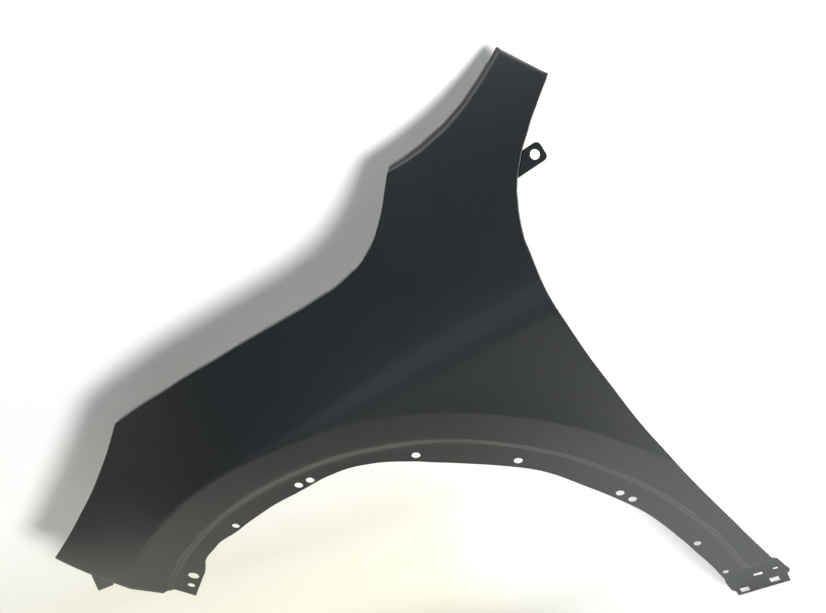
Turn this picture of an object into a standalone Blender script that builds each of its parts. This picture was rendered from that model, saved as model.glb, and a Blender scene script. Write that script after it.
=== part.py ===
"""Left front fender of a compact car: one pressed steel sheet with two welded steel tabs.

Metres, +Z up. The car's front is toward -X and its outer side toward -Y. Shapes are worked out
around the centre of the wheel arch. An empty then carries them, so that the world's origin lies on
the seating face of the rear upper tab, where the fender is held.
"""

import math

import bmesh
import bpy
from mathutils import Matrix, Vector

# Overall reach of the panel, measured from the centre of the wheel arch
ARCH_RADIUS = 0.388
LEG_WIDTH = 0.084
FRONT_REACH = 0.518
REAR_REACH = ARCH_RADIUS + LEG_WIDTH
ARM_RISE = 0.374
ARM_HEIGHT = ARCH_RADIUS + ARM_RISE
SILL_DROP = 0.134

# The sheet and its folds
SHEET = 0.0008
WELD_GAP = 0.0003
FOLD_RADIUS = 0.0016

# Wheel arch: inner flange, step out to the flare band, and the crease above the band
FLANGE_WIDTH = 0.040
STEP_DEPTH = 0.0045
STEP_WIDTH = 0.017
STEP_SPLIT_SHARE = 0.42
STEP_JOIN_REAR = (math.radians(48), math.radians(76))
STEP_JOIN_FRONT = (math.radians(104), math.radians(132))
BAND_WIDTH = 0.067
CREASE_EASE = 0.004
LEG_BAND_SHARE = 0.5

# How the skin leans away from the widest line of the car
FRONT_SWEEP = 0.076
SWEEP_POWER = 2.2
REAR_TUCK = 0.0015
CROWN_SHARE = 0.21
SHOULDER_ANGLE = math.radians(30.4)
SHOULDER_RADIUS = 0.417
SHOULDER_EASE = 0.024
SHOULDER_LINE = math.radians(101)
SHOULDER_SOFT = (math.radians(66), math.radians(101))
FRONT_FADE_SHARE = 0.85
FRONT_FADE = (math.radians(112), math.radians(158))
FLARE_DROP = 0.010
FLARE_FADE = 0.070
FLARE_RISE = (math.radians(-10), math.radians(40))
FLARE_REAR = (math.radians(57), math.radians(97))
FLARE_FRONT = (math.radians(112), math.radians(140))

# Returns behind the edges. A lean closes a return past the square, as a share of its depth
EDGE_RETURN = 0.012
DOOR_RETURN = 0.010
TIP_RETURN = 0.006
RETURN_LEAN_SHARE = 0.6
TIP_LEAN_SHARE = 1.3
HOOD_LEAN = 0.003
HOOD_WALL = 0.036
HOOD_FLANGE = 0.016
GUTTER_SLOPE = 0.0046
GUTTER_DROP = 0.0022
GUTTER_WIDTH = 0.0034
GUTTER_TAPER = 0.060
GUTTER_ROOT_SHARE = 0.65
BOTTOM_BOW = 0.012
FOOT_NOTCH = 0.0095
NOTCH_SLOPE_SHARE = 0.7
NOTCH_SIDE_SHARE = 0.75

# Holes in the arch flange, in the sill tab and in the hood flange
HOLE_DIAMETER = 0.0115
HOLE_INSET = 0.011
FOOT_HOLE = 0.016
SLOT_LENGTH = 0.013
SLOT_WIDTH = 0.011
BOLT_SLOT = 0.012
BOLT_DIAMETER = 0.008
CUT_OVERRUN = 0.005
HOLE_SIDES = 18

# The two welded tabs. Each lies on the skin's inner face around a lap behind the edge
TAB_SHEET = 0.0015
TAB_SAG = 0.0012
TAB_CLEARANCE = 0.006
REAR_TAB_WIDTH = 0.024
REAR_TAB_REACH = 0.034
REAR_TAB_LAP = 0.030
REAR_TAB_TURN = math.radians(18)
REAR_TAB_HOLE = 0.0125
REAR_TAB_END = 0.012
REAR_TAB_CORNER = 0.006
SEAT_TO_HOLE = 0.0105
FRONT_TAB_WIDTH = 0.045
FRONT_TAB_DROP = 0.028
FRONT_TAB_LAP = 0.025
FRONT_TAB_HOLE = 0.009
FRONT_TAB_CORNER = 0.003

# Counts of columns along each edge and of rows across the skin
FRONT_COLUMNS = 12
HOOD_COLUMNS = 22
ROOT_COLUMNS = 8
DOOR_COLUMNS = 26
LENGTH_SHARE = 0.5
SKIN_ROWS = 11
FLANGE_ROWS = 2
STEP_ROWS = 4
CORNER_ROWS = 3
ARM_ROWS = 9

# The arch line isn't a true circle. Each row is an angle in degrees and a share of ARCH_RADIUS
ARCH_SHARES = (
    (152, 1.045), (144, 1.021), (135, 1.000), (127, 0.987), (118, 0.983), (106, 0.987), (96, 0.997),
    (84, 1.011), (75, 1.015), (66, 1.018), (55, 1.010), (43, 1.003), (30, 0.997), (17, 1.006),
    (10, 1.015), (3, 1.033), (-5, 1.053), (-12, 1.086),
)
# The flange is wide at its holes. Each row is an angle in degrees and a share of FLANGE_WIDTH
FLANGE_SHARES = (
    (152, 0.77), (143, 0.77), (135, 0.51), (127, 0.48), (118, 0.65), (104, 0.67), (97, 0.66),
    (90, 0.53), (81, 0.53), (72, 0.77), (66, 0.94), (55, 0.93), (48, 0.84), (42, 0.84), (36, 0.89),
    (29, 0.89), (16, 0.84), (9, 0.87), (2, 0.90), (-6, 0.80), (-12, 0.77),
)
# Holes of the arch flange: angle in degrees, share of HOLE_INSET, share of HOLE_DIAMETER
ARCH_HOLE_SHARES = (
    (147.5, 1.06, 0.93), (118.7, 0.66, 0.90), (97.3, 0.94, 1.0), (94.3, 0.75, 1.0), (71.3, 1.14, 1.0),
    (50.8, 1.20, 1.0), (26.6, 1.07, 1.0), (23.1, 0.98, 1.0), (1.6, 1.05, 0.90), (-10.3, 0.85, 0.75),
)
FOOT_HOLE_ANGLE = 143.2
FOOT_HOLE_INSET_SHARE = 1.2

# Outline points: shares of FRONT_REACH or REAR_REACH along X, and of ARM_HEIGHT or SILL_DROP along Z
FRONT_EDGE_SHARES = ((-1.0, 0.368), (-0.800, 0.475), (-0.624, 0.576), (-0.513, 0.649))
HOOD_EDGE_SHARES = (
    (-0.513, 0.649), (-0.323, 0.697), (-0.117, 0.735), (0.090, 0.764), (0.226, 0.781), (0.337, 0.800),
    (0.409, 0.822), (0.458, 0.847), (0.494, 0.872),
)
DOOR_EDGE_SHARES = (
    (0.838, 0.839), (0.820, 0.803), (0.817, 0.771), (0.820, 0.675), (0.833, 0.488), (0.871, 0.281),
    (0.936, 0.038), (0.962, -0.288), (0.975, -0.522),
)
HOOD_CORNER_SHARES = ((0.494, 0.872), (0.515, 0.889), (0.532, 0.903))
ARM_HOOD_SHARES = (
    (0.532, 0.903), (0.612, 0.912), (0.684, 0.925), (0.750, 0.940), (0.822, 0.962), (0.889, 0.986),
    (0.922, 0.999),
)
ARM_DOOR_SHARES = ((0.838, 0.839), (0.870, 0.872), (0.923, 0.909), (0.962, 0.932), (1.016, 0.961))
# Arch angles in degrees where the corners of the outline meet the arch, front foot to sill
FOOT_ANGLE = 151.8
HEADLIGHT_ANGLE = 118.3
ROOT_START_ANGLE = 70.7
ROOT_END_ANGLE = 58.2
SILL_ANGLE = -10.4
# Sill tab: each row is a share of SILL_DROP, and the tab's two sides as shares of REAR_REACH
SILL_TAB_SHARES = (
    (-0.655, -0.553, 0.810, 0.984), (-0.720, -0.700, 0.807, 0.993), (-0.800, -0.768, 0.808, 1.0),
    (-0.885, -0.824, 0.811, 0.996), (-0.915, -0.842, 0.820, 0.987), (-1.0, -0.985, 0.820, 0.984),
)
# Slots of the sill tab: shares of REAR_REACH and SILL_DROP, then of SLOT_LENGTH and SLOT_WIDTH
SILL_SLOT_SHARES = (
    (0.907, -0.722, 0.99, 0.54), (0.943, -0.891, 1.04, 1.0), (0.847, -0.928, 1.0, 0.96),
    (0.962, -0.704, 0.53, 0.34),
)
# Bolt slots of the hood flange, as shares of the hood edge's columns
HOOD_BOLT_SHARES = (0.14, 0.45, 0.73)
# Where the tabs leave the panel, and the outline of the front one around that point
REAR_TAB_SHARES = (0.870, 0.869)
FRONT_TAB_SHARES = (-0.893, 0.3045)
FRONT_TAB_LOW_SHARES = ((-0.64, -1.0), (0.36, -0.32))
FRONT_TAB_HIGH_SHARES = ((0.60, 1.0), (-0.24, 1.0))
FRONT_TAB_HOLE_SHARES = (0.0, 0.18)

PAINT = (0.016, 0.017, 0.018, 1.0)
PAINT_ROUGHNESS = 0.38
SHARP_ANGLE = math.radians(35)


def smooth(low, high, value):
    """0 below low, 1 above high, and an eased rise between them."""
    share = min(1.0, max(0.0, (value - low) / (high - low)))
    return share * share * (3 - 2 * share)


def eased_rise(rise, ease):
    """The part of a rise that is over 0, with the corner at 0 rounded over an ease to each side."""
    if abs(rise) < ease:
        return (rise + ease) ** 2 / (4 * ease)
    return max(0.0, rise)


def curve_at(stops, values, place):
    """A smooth curve through the values, which lie at rising stops."""
    last = len(stops) - 1
    i = max(0, min(last - 1, sum(stop <= place for stop in stops) - 1))
    span = stops[i + 1] - stops[i]

    def slope(k):
        low, high = max(0, k - 1), min(last, k + 1)
        return (values[high] - values[low]) / (stops[high] - stops[low])

    t = (place - stops[i]) / span
    near = values[i] + (slope(i) * span) * t
    far = values[i + 1] - (slope(i + 1) * span) * (1 - t)
    blend = t * t * (3 - 2 * t)
    return near * (1 - blend) + far * blend


def table_at(rows, angle):
    """The share that a table of (degrees, share) rows gives at an angle in radians."""
    stops = [-math.radians(row[0]) for row in rows]
    return curve_at(stops, [row[1] for row in rows], -angle)


def arch_radius(angle):
    return ARCH_RADIUS * table_at(ARCH_SHARES, angle)


def plan_sweep(x):
    """How far the panel has turned inward, seen from above."""
    crown = CROWN_SHARE * REAR_REACH
    if x < crown:
        return FRONT_SWEEP * ((crown - x) / (crown + FRONT_REACH)) ** SWEEP_POWER
    return REAR_TUCK * ((x - crown) / (REAR_REACH - crown)) ** 2


def step_rise(share, angle):
    """How much of the step is climbed. It is one bend at the arch's top and two down its sides."""
    joined = smooth(*STEP_JOIN_REAR, angle) * (1 - smooth(*STEP_JOIN_FRONT, angle))
    split = STEP_SPLIT_SHARE * (1 - joined) + joined
    return (smooth(0, split, share) + smooth(1 - split, 1, share)) / 2


def skin_depth(x, z):
    """How far inside the widest line the outer face lies at a point of the side view."""
    angle = math.atan2(z, x)
    radius = math.hypot(x, z)
    gap = radius - arch_radius(angle)
    depth = plan_sweep(x) + STEP_DEPTH * (1 - step_rise(gap / STEP_WIDTH, angle))
    above = gap - BAND_WIDTH
    rise = above
    if 0 < angle < SHOULDER_LINE:
        crease = arch_radius(SHOULDER_LINE) + BAND_WIDTH
        rise = radius * math.cos(angle - SHOULDER_LINE) - crease
    ease = CREASE_EASE + SHOULDER_EASE * (1 - smooth(*SHOULDER_SOFT, angle))
    rise = eased_rise(rise, ease)
    fade = 1 - FRONT_FADE_SHARE * smooth(*FRONT_FADE, angle)
    depth += fade * (math.tan(SHOULDER_ANGLE) * rise + rise * rise / (2 * SHOULDER_RADIUS))
    if above > 0:
        rear = smooth(*FLARE_RISE, angle) * (1 - smooth(*FLARE_REAR, angle))
        flare = rear + smooth(*FLARE_FRONT, angle)
        depth += FLARE_DROP * (1 - math.exp(-above / FLARE_FADE)) * flare
    return depth


def on_skin(x, z):
    return Vector((x, skin_depth(x, z), z))


def side_point(shares):
    """A point of the side view from its two shares."""
    across, up = shares
    reach = REAR_REACH if across > 0 else FRONT_REACH
    return Vector((across * reach, up * (ARM_HEIGHT if up > 0 else SILL_DROP)))


def run_points(shares, count, length_share=1.0):
    """Points along an edge, spaced partly by length and partly by angle round the arch."""
    points = [side_point(row) for row in shares]
    angles = [math.atan2(point.y, point.x) for point in points]
    lengths = [0.0]
    for a, b in zip(points, points[1:]):
        lengths.append(lengths[-1] + (b - a).length)
    stops = []
    for angle, length in zip(angles, lengths):
        turn = (angles[0] - angle) / (angles[0] - angles[-1])
        stops.append(turn * (1 - length_share) + length / lengths[-1] * length_share)
    return [curve_at(stops, points, i / count) for i in range(count + 1)]


def rim_columns():
    """For each column: its arch angle and the point of the outer edge where it ends."""
    root_start, root_end = side_point(HOOD_EDGE_SHARES[-1]), side_point(DOOR_EDGE_SHARES[0])
    root = [root_start.lerp(root_end, i / ROOT_COLUMNS) for i in range(ROOT_COLUMNS + 1)]
    sides = (
        (FOOT_ANGLE, HEADLIGHT_ANGLE, run_points(FRONT_EDGE_SHARES, FRONT_COLUMNS, 0)),
        (HEADLIGHT_ANGLE, ROOT_START_ANGLE, run_points(HOOD_EDGE_SHARES, HOOD_COLUMNS, LENGTH_SHARE)),
        (ROOT_START_ANGLE, ROOT_END_ANGLE, root),
        (ROOT_END_ANGLE, SILL_ANGLE, run_points(DOOR_EDGE_SHARES, DOOR_COLUMNS, LENGTH_SHARE)),
    )
    columns = []
    for start, end, points in sides:
        count = len(points) - 1
        for i, point in enumerate(points):
            if columns and i == 0:
                continue
            columns.append((math.radians(start + (end - start) * i / count), point))
    return columns


def column_points(angle, rim, bow):
    """The points of one column in the side view, from the flange's edge to the rim."""
    radial = Vector((math.cos(angle), math.sin(angle)))
    foot = radial * arch_radius(angle)
    flange = FLANGE_WIDTH * table_at(FLANGE_SHARES, angle)
    way = (rim - foot).normalized()
    width = (rim - foot).length - FOLD_RADIUS
    side = Vector((-way.y, way.x))
    crease = min(BAND_WIDTH, STEP_WIDTH + LEG_BAND_SHARE * (width - STEP_WIDTH))
    middle = (STEP_WIDTH + crease) / 2
    ease = min(CREASE_EASE, (crease - STEP_WIDTH) / 4, (width - crease) / 2)
    offsets = [STEP_WIDTH * k / STEP_ROWS for k in range(1, STEP_ROWS + 1)]
    offsets += [middle, crease - ease, crease, crease + ease]
    start = offsets[-1]
    offsets += [start + (width - start) * k / SKIN_ROWS for k in range(1, SKIN_ROWS + 1)]
    points = [foot - radial * flange * (1 - k / FLANGE_ROWS) for k in range(FLANGE_ROWS + 1)]
    for offset in offsets:
        share = offset / width
        points.append(foot + way * offset + side * bow * math.sin(math.pi * share) * share)
    return points


def notched(points):
    """Lifts the lower end of the flange, so that it ends above the skin beside it."""
    foot = points[FLANGE_ROWS]
    lifted = []
    for k, point in enumerate(points):
        offset = (point - foot).length / STEP_WIDTH
        if k < FLANGE_ROWS:
            share = k / FLANGE_ROWS
        elif offset < NOTCH_SIDE_SHARE:
            share = 1 - (1 - NOTCH_SLOPE_SHARE) * offset / NOTCH_SIDE_SHARE
        else:
            share = NOTCH_SLOPE_SHARE * max(0.0, 1 - offset) / (1 - NOTCH_SIDE_SHARE)
        turn = Matrix.Rotation(-FOOT_NOTCH * share / point.length, 2)
        lifted.append(turn @ point)
    return lifted


def extrude_row(bm, row, places):
    """Extrudes a row of vertices as edges and puts each new vertex at its place."""
    edges = [bm.edges.get(pair) for pair in zip(row, row[1:])]
    made = bmesh.ops.extrude_edge_only(bm, edges=edges)["geom"]
    fresh = {item for item in made if isinstance(item, bmesh.types.BMVert)}
    new_row = []
    for vert, place in zip(row, places):
        ends = [edge.other_vert(vert) for edge in vert.link_edges]
        new = next(end for end in ends if end in fresh)
        new.co = place
        new_row.append(new)
    return new_row


def edge_ways(row):
    """For each vertex of an edge row, the vector in the side view that leaves the panel.

    The row runs so that the panel lies on its right, seen from the car's outer side. At a corner
    the vector is longer, so that a fold keeps its width there.
    """
    sides = []
    for a, b in zip(row, row[1:]):
        along = Vector((b.co.x - a.co.x, 0, b.co.z - a.co.z)).normalized()
        sides.append(Vector((-along.z, 0, along.x)))
    found = []
    for before, after in zip(sides[:1] + sides, sides + sides[-1:]):
        found.append((before + after) / (1 + before.dot(after)))
    return found


def side_ways(row):
    """For each vertex of an edge row, the ways out of the panel and inward, as in the side view."""
    return [(way, Vector((0, 1, 0))) for way in edge_ways(row)]


def skin_ways(row):
    """For each vertex of an edge row, the ways out along the skin and square into it."""
    found = []
    for vert, way in zip(row, edge_ways(row)):
        step = way.normalized() * SHEET
        ahead = skin_depth(vert.co.x + step.x, vert.co.z + step.z)
        behind = skin_depth(vert.co.x - step.x, vert.co.z - step.z)
        slope = (ahead - behind) / (2 * SHEET)
        steep = math.hypot(1, slope)
        out = (way + Vector((0, slope * way.length, 0))) / steep
        found.append((out, (Vector((0, 1, 0)) - way.normalized() * slope) / steep))
    return found


def fold_row(bm, row, ways, steps, taper=None):
    """Folds an edge row. Each step gives how far out and how far inward each vertex goes."""
    taper = taper or [1.0] * len(row)
    for out, inward in steps:
        places = []
        for vert, (outward, deeper), share in zip(row, ways, taper):
            places.append(vert.co + (outward * out + deeper * inward) * share)
        row = extrude_row(bm, row, places)
    return row


def round_fold():
    """The steps that turn the sheet through a right angle at the fold's radius."""
    half = math.sqrt(1 / 2)
    return [
        (FOLD_RADIUS * half, FOLD_RADIUS * (1 - half)),
        (FOLD_RADIUS * (1 - half), FOLD_RADIUS * half),
    ]


def turn_rim(bm, edges):
    """Turns edges that meet at corners as one rim, and returns each edge's vertices after it."""
    rim = edges[0] + [vert for edge in edges[1:] for vert in edge[1:]]
    turned = dict(zip(rim, fold_row(bm, rim, skin_ways(rim), round_fold())))
    return [[turned[vert] for vert in edge] for edge in edges]


def clear_runs(row, centre, clearance):
    """The stretches of an edge row that stay clear of a tab that crosses it."""
    runs, run = [], []
    for vert in row:
        if (vert.co - centre).length > clearance:
            run.append(vert)
        elif run:
            runs.append(run)
            run = []
    return [found for found in (*runs, run) if len(found) > 1]


def build_skin(bm):
    """The outer skin with its arch flange, and the rows of vertices that its edges start from."""
    columns = rim_columns()
    bow_columns = FRONT_COLUMNS / 2
    table = []
    for i, (angle, rim) in enumerate(columns):
        bow = BOTTOM_BOW * max(0.0, 1 - i / bow_columns) ** 2
        table.append(column_points(angle, rim, bow))
    table[0] = notched(table[0])
    last_column, last_row = len(table) - 1, len(table[0]) - 1
    bmesh.ops.create_grid(bm, x_segments=last_column, y_segments=last_row, size=1)
    grid = {}
    for vert in bm.verts:
        i = round((vert.co.x + 1) / 2 * last_column)
        j = round((vert.co.y + 1) / 2 * last_row)
        grid[i, j] = vert
    for (i, j), vert in grid.items():
        vert.co = on_skin(*table[i][j])
    root_start = FRONT_COLUMNS + HOOD_COLUMNS
    root_end = root_start + ROOT_COLUMNS
    top = [grid[i, last_row] for i in range(last_column + 1)]
    return {
        "bottom": [grid[0, j] for j in range(FLANGE_ROWS + STEP_ROWS, last_row + 1)],
        "front": top[: FRONT_COLUMNS + 1],
        "hood": top[FRONT_COLUMNS : root_start + 1],
        "root": top[root_start : root_end + 1],
        "door": top[root_end:],
        "sill": [grid[last_column, j] for j in range(last_row + 1)],
    }


def build_arm(bm, rows):
    """The arm that rises from the skin to the foot of the windscreen pillar."""
    left = run_points(HOOD_CORNER_SHARES, CORNER_ROWS) + run_points(ARM_HOOD_SHARES, ARM_ROWS)[1:]
    right = run_points(ARM_DOOR_SHARES, CORNER_ROWS + ARM_ROWS)
    row = rows["root"]
    hood_side, door_side = [row[0]], [row[-1]]
    for start, end in zip(left[1:], right[1:]):
        end = end - (end - start).normalized() * FOLD_RADIUS
        points = [start.lerp(end, i / ROOT_COLUMNS) for i in range(ROOT_COLUMNS + 1)]
        row = extrude_row(bm, row, [on_skin(*point) for point in points])
        hood_side.append(row[0])
        door_side.append(row[-1])
    rows["corner"] = hood_side[: CORNER_ROWS + 1]
    rows["gutter"] = hood_side[CORNER_ROWS:]
    rows["tip"] = row
    rows["door"] = door_side[:0:-1] + rows["door"]


def build_sill_tab(bm, rows):
    """The flat tab below the step at the foot of the rear leg."""
    row = rows["sill"]
    depth = plan_sweep(REAR_REACH) + STEP_DEPTH
    widths = [vert.co.x - row[0].co.x for vert in row]
    for near, far, start, end in SILL_TAB_SHARES:
        places = []
        for width in widths:
            share = width / widths[-1]
            x = REAR_REACH * (start + (end - start) * share)
            z = SILL_DROP * (near + (far - near) * share)
            places.append(Vector((x, depth, z)))
        row = extrude_row(bm, row, places)


def build_gutter(bm, rows):
    """The strip beside the arm's hood edge: a slope down from the skin, then a flat ledge."""
    gutter = rows["gutter"]
    taper = []
    for vert in gutter:
        grown = smooth(0, GUTTER_TAPER, (vert.co - gutter[0].co).length)
        taper.append(GUTTER_ROOT_SHARE + (1 - GUTTER_ROOT_SHARE) * grown)
    ways = skin_ways(gutter)
    along_hood = gutter[0].co - rows["corner"][-2].co
    along_tip = gutter[-1].co - rows["tip"][1].co
    for end, along in ((0, along_hood), (-1, along_tip)):
        ways[end] = (along / along.dot(ways[end][0]), ways[end][1])
    slope = fold_row(bm, gutter, ways, [(GUTTER_SLOPE, GUTTER_DROP)], taper)
    rows["strip"] = fold_row(bm, slope, ways, [(GUTTER_WIDTH, 0)], taper)
    rows["strip_end"] = [rows["strip"][-1], slope[-1], gutter[-1]]


def build_returns(bm, rows):
    """The folds behind the edges that stiffen the panel and carry its bolts."""
    lower = turn_rim(bm, [rows["bottom"][1:], rows["front"], rows["hood"], rows["corner"]])
    upper = turn_rim(bm, [rows["strip"], rows["strip_end"], rows["tip"], rows["door"]])
    bottom, front, hood, corner = lower
    strip, strip_end, tip, door = upper
    front_tab = on_skin(*side_point(FRONT_TAB_SHARES))
    rear_tab = on_skin(*side_point(REAR_TAB_SHARES))
    edge = [(-EDGE_RETURN * RETURN_LEAN_SHARE, EDGE_RETURN)]
    for run in clear_runs(bottom[:-1], front_tab, FRONT_TAB_WIDTH / 2 + TAB_CLEARANCE):
        fold_row(bm, run, side_ways(run), edge)
    fold_row(bm, front[1:-1], side_ways(front[1:-1]), edge)
    for run in clear_runs(door[1:-1], rear_tab, REAR_TAB_WIDTH / 2 + TAB_CLEARANCE):
        fold_row(bm, run, side_ways(run), [(-DOOR_RETURN * RETURN_LEAN_SHARE, DOOR_RETURN)])
    fold_row(bm, tip[1:-1], side_ways(tip[1:-1]), [(-TIP_RETURN * TIP_LEAN_SHARE, TIP_RETURN)])
    wall = [(0, HOOD_LEAN), (-HOOD_WALL, HOOD_LEAN), (0, HOOD_FLANGE)]
    for run in (hood[1:] + corner[1:-1], strip[1:-1]):
        fold_row(bm, run, side_ways(run), wall)


def add_cutter(bm, place, axis, length, width):
    """A round bar, or a slot's rounded bar when length is over width, lying across a sheet.

    The slot runs along X in the side view.
    """
    turn = axis.to_track_quat("Z", "X").to_matrix().to_4x4()
    depth = 2 * CUT_OVERRUN
    made = bmesh.ops.create_cone(
        bm, cap_ends=True, segments=HOLE_SIDES, radius1=width / 2, radius2=width / 2, depth=depth,
        matrix=Matrix.Translation(place) @ turn,
    )
    stretch = Vector(((length - width) / 2, 0, 0))
    for vert in made["verts"]:
        vert.co += stretch if vert.co.x > place.x else -stretch


def add_slot_cutter(bm, place, length, width):
    """A square-cornered bar that lies across the car, for a slot that runs along X."""
    size = Matrix.Diagonal((length, 2 * CUT_OVERRUN, width, 1))
    bmesh.ops.create_cube(bm, size=1, matrix=Matrix.Translation(place) @ size)


def arch_hole_place(degrees, inset_share):
    """The centre of a hole in the arch flange, an inset outward of the flange's edge."""
    angle = math.radians(degrees)
    edge = arch_radius(angle) - FLANGE_WIDTH * table_at(FLANGE_SHARES, angle)
    radius = edge + HOLE_INSET * inset_share
    return on_skin(radius * math.cos(angle), radius * math.sin(angle))


def build_panel_cutters(hood_flange):
    bm = bmesh.new()
    inward = Vector((0, 1, 0))
    for degrees, inset_share, size_share in ARCH_HOLE_SHARES:
        size = HOLE_DIAMETER * size_share
        add_cutter(bm, arch_hole_place(degrees, inset_share), inward, size, size)
    foot = arch_hole_place(FOOT_HOLE_ANGLE, FOOT_HOLE_INSET_SHARE)
    add_cutter(bm, foot, inward, FOOT_HOLE, FOOT_HOLE)
    depth = plan_sweep(REAR_REACH) + STEP_DEPTH
    for across, up, length_share, width_share in SILL_SLOT_SHARES:
        place = Vector((across * REAR_REACH, depth, up * SILL_DROP))
        add_slot_cutter(bm, place, SLOT_LENGTH * length_share, SLOT_WIDTH * width_share)
    for place, axis in hood_flange:
        add_cutter(bm, place, axis, BOLT_SLOT, BOLT_DIAMETER)
    return mesh_of(bm, "panel_cutters")


def mesh_of(bm, name):
    mesh = bpy.data.meshes.new(name)
    bm.to_mesh(mesh)
    bm.free()
    return mesh


def build_panel():
    """The whole sheet's outer face as an open mesh that faces the car's outer side."""
    bm = bmesh.new()
    rows = build_skin(bm)
    build_arm(bm, rows)
    build_sill_tab(bm, rows)
    build_gutter(bm, rows)
    build_returns(bm, rows)
    bmesh.ops.recalc_face_normals(bm, faces=bm.faces)
    bm.faces.ensure_lookup_table()
    if bm.faces[0].normal.y > 0:
        bmesh.ops.reverse_faces(bm, faces=bm.faces)
    return mesh_of(bm, "fender_panel")


def hood_bolts():
    """The centre and axis of each bolt slot in the flange behind the hood edge."""
    rim = run_points(HOOD_EDGE_SHARES, HOOD_COLUMNS, LENGTH_SHARE)
    found = []
    for share in HOOD_BOLT_SHARES:
        i = round(share * HOOD_COLUMNS)
        along = (rim[i + 1] - rim[i - 1]).normalized()
        out = Vector((-along.y, 0, along.x))
        inward = FOLD_RADIUS + 2 * HOOD_LEAN + HOOD_FLANGE / 2
        place = on_skin(*rim[i]) - out * (HOOD_WALL - FOLD_RADIUS) + Vector((0, inward, 0))
        found.append((place, out))
    return found


def skin_frame(point):
    """A frame on the skin: X toward the car's rear, Y up the skin and Z outward."""
    step = SHEET
    across = on_skin(point.x + step, point.y) - on_skin(point.x - step, point.y)
    up = on_skin(point.x, point.y + step) - on_skin(point.x, point.y - step)
    z_axis = across.cross(up).normalized()
    x_axis = across.normalized()
    y_axis = z_axis.cross(x_axis)
    frame = Matrix((x_axis, y_axis, z_axis)).transposed().to_4x4()
    frame.translation = on_skin(*point)
    return frame


def rear_tab_frame():
    """The rear tab's frame, at the middle of its lap, with X along the tab."""
    edge = side_point(REAR_TAB_SHARES)
    lap = edge - Vector((math.cos(REAR_TAB_TURN), 0)) * REAR_TAB_LAP / 2
    return skin_frame(lap) @ Matrix.Rotation(REAR_TAB_TURN, 4, "Z")


def tab_face_depth():
    """How far under the skin's outer face a tab's outer face lies."""
    return SHEET + WELD_GAP + TAB_SAG


def rear_tab_seat():
    """The point of the rear tab's seating face that is the part's origin."""
    beside_hole = REAR_TAB_LAP / 2 + REAR_TAB_REACH - REAR_TAB_END - SEAT_TO_HOLE
    return rear_tab_frame() @ Vector((beside_hole, 0, -tab_face_depth() - TAB_SHEET))


def tab_mesh(name, outline, corner):
    """A flat plate's outer face, with rounded corners."""
    bm = bmesh.new()
    verts = [bm.verts.new((x, y, -tab_face_depth())) for x, y in outline]
    bm.faces.new(verts)
    bmesh.ops.bevel(
        bm, geom=bm.verts[:], offset=corner, segments=4, affect="VERTICES", profile=0.5, material=-1,
    )
    return mesh_of(bm, name)


def painted(name):
    material = bpy.data.materials.new(name)
    material.use_nodes = True
    shader = material.node_tree.nodes["Principled BSDF"]
    shader.inputs["Base Color"].default_value = PAINT
    shader.inputs["Roughness"].default_value = PAINT_ROUGHNESS
    shader.inputs["Metallic"].default_value = 0.0
    return material


def place(mesh, collection, carrier, frame):
    """Makes an object of a mesh and hangs it on the carrier."""
    made = bpy.data.objects.new(mesh.name, mesh)
    collection.objects.link(made)
    made.parent = carrier
    made.matrix_local = frame
    return made


def as_cutter(made):
    made.hide_render = True
    made.display_type = "WIRE"
    return made


def add_sheet(made, thickness, cutter):
    """Gives an open face its thickness on the inner side, then cuts its holes."""
    wall = made.modifiers.new("sheet", "SOLIDIFY")
    wall.thickness = thickness
    wall.offset = -1
    wall.use_even_offset = True
    holes = made.modifiers.new("holes", "BOOLEAN")
    holes.operation = "DIFFERENCE"
    holes.object = cutter
    made.data.materials.append(painted(made.name + "_paint"))
    made.data.shade_smooth()
    made.data.set_sharp_from_angle(angle=SHARP_ANGLE)


def build_tab(name, frame, outline, corner, hole, hole_size, parts, cutters, carrier):
    bm = bmesh.new()
    centre = Vector((*hole, -tab_face_depth()))
    add_cutter(bm, centre, Vector((0, 0, 1)), hole_size, hole_size)
    cutter = as_cutter(place(mesh_of(bm, name + "_cutter"), cutters, carrier, frame))
    tab = place(tab_mesh(name, outline, corner), parts, carrier, frame)
    add_sheet(tab, TAB_SHEET, cutter)


def build_rear_tab(parts, cutters, carrier):
    start = -REAR_TAB_LAP / 2
    end = REAR_TAB_LAP / 2 + REAR_TAB_REACH
    half = REAR_TAB_WIDTH / 2
    outline = ((start, -half), (end, -half), (end, half), (start, half))
    hole = (end - REAR_TAB_END, 0.0)
    build_tab(
        "rear_upper_tab", rear_tab_frame(), outline, REAR_TAB_CORNER, hole, REAR_TAB_HOLE,
        parts, cutters, carrier,
    )


def build_front_tab(parts, cutters, carrier):
    low = [(x * FRONT_TAB_WIDTH, y * FRONT_TAB_DROP) for x, y in FRONT_TAB_LOW_SHARES]
    high = [(x * FRONT_TAB_WIDTH, y * FRONT_TAB_LAP) for x, y in FRONT_TAB_HIGH_SHARES]
    across, up = FRONT_TAB_HOLE_SHARES
    hole = (across * FRONT_TAB_WIDTH, up * FRONT_TAB_DROP)
    build_tab(
        "front_lower_tab", skin_frame(side_point(FRONT_TAB_SHARES)), low + high, FRONT_TAB_CORNER,
        hole, FRONT_TAB_HOLE, parts, cutters, carrier,
    )


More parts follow.
